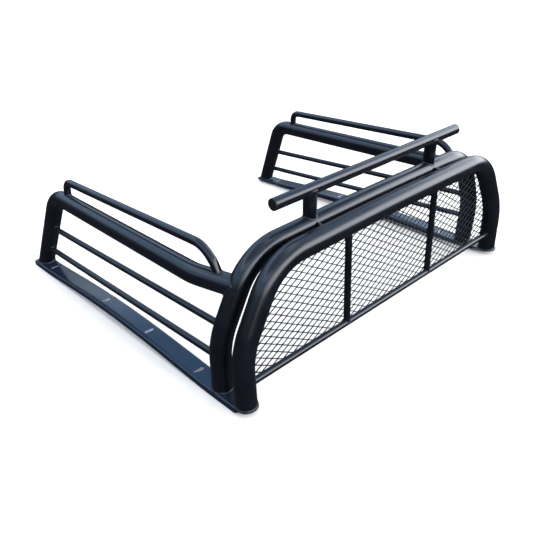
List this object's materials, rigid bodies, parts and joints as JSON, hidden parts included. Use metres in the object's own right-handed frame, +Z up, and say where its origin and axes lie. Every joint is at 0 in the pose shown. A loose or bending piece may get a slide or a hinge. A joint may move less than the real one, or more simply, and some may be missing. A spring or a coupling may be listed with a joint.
{
  "type": "headache rack",
  "caption": "Tubular rack that stands behind a pick-up's cab, with a double hoop, an expanded-metal guard, a light bar and side rails along the bed.",
  "frame": {"origin": "middle of the rack's footprint, on the surface the base plates stand on", "axes": "+X to the right, +Y from the cab towards the tailgate, +Z up; metres"},
  "size_m": [1.606, 1.6756, 0.6612],
  "materials": {
    "black_steel": "satin black powder coat on steel tube and sheet",
    "zinc_steel": "dark zinc-plated steel",
    "black_plastic": "matt black moulded plastic"
  },
  "bodies": {
    "root": {"left_base_plate": "black_steel", "left_side_tube": "black_steel", "left_upper_bar": "black_steel", "left_lower_bar": "black_steel", "left_top_rail": "black_steel", "guard_divider_left": "black_steel", "light_post_left": "black_steel", "clamp_guard_tab_left": "black_steel", "clamp_main_tab_left": "black_steel", "clamp_nut_washer_left": "zinc_steel", "clamp_head_washer_left": "zinc_steel", "clamp_bolt_left": "zinc_steel", "clamp_nut_left": "zinc_steel", "light_bar_cap_left": "black_plastic", "right_base_plate": "black_steel", "right_side_tube": "black_steel", "right_upper_bar": "black_steel", "right_lower_bar": "black_steel", "right_top_rail": "black_steel", "guard_divider_right": "black_steel", "light_post_right": "black_steel", "clamp_guard_tab_right": "black_steel", "clamp_main_tab_right": "black_steel", "clamp_nut_washer_right": "zinc_steel", "clamp_head_washer_right": "zinc_steel", "clamp_bolt_right": "zinc_steel", "clamp_nut_right": "zinc_steel", "light_bar_cap_right": "black_plastic", "guard_hoop": "black_steel", "main_hoop": "black_steel", "guard_bottom_bar": "black_steel", "mesh_panel": "black_steel", "light_bar": "black_steel"}
  },
  "joints": []
}
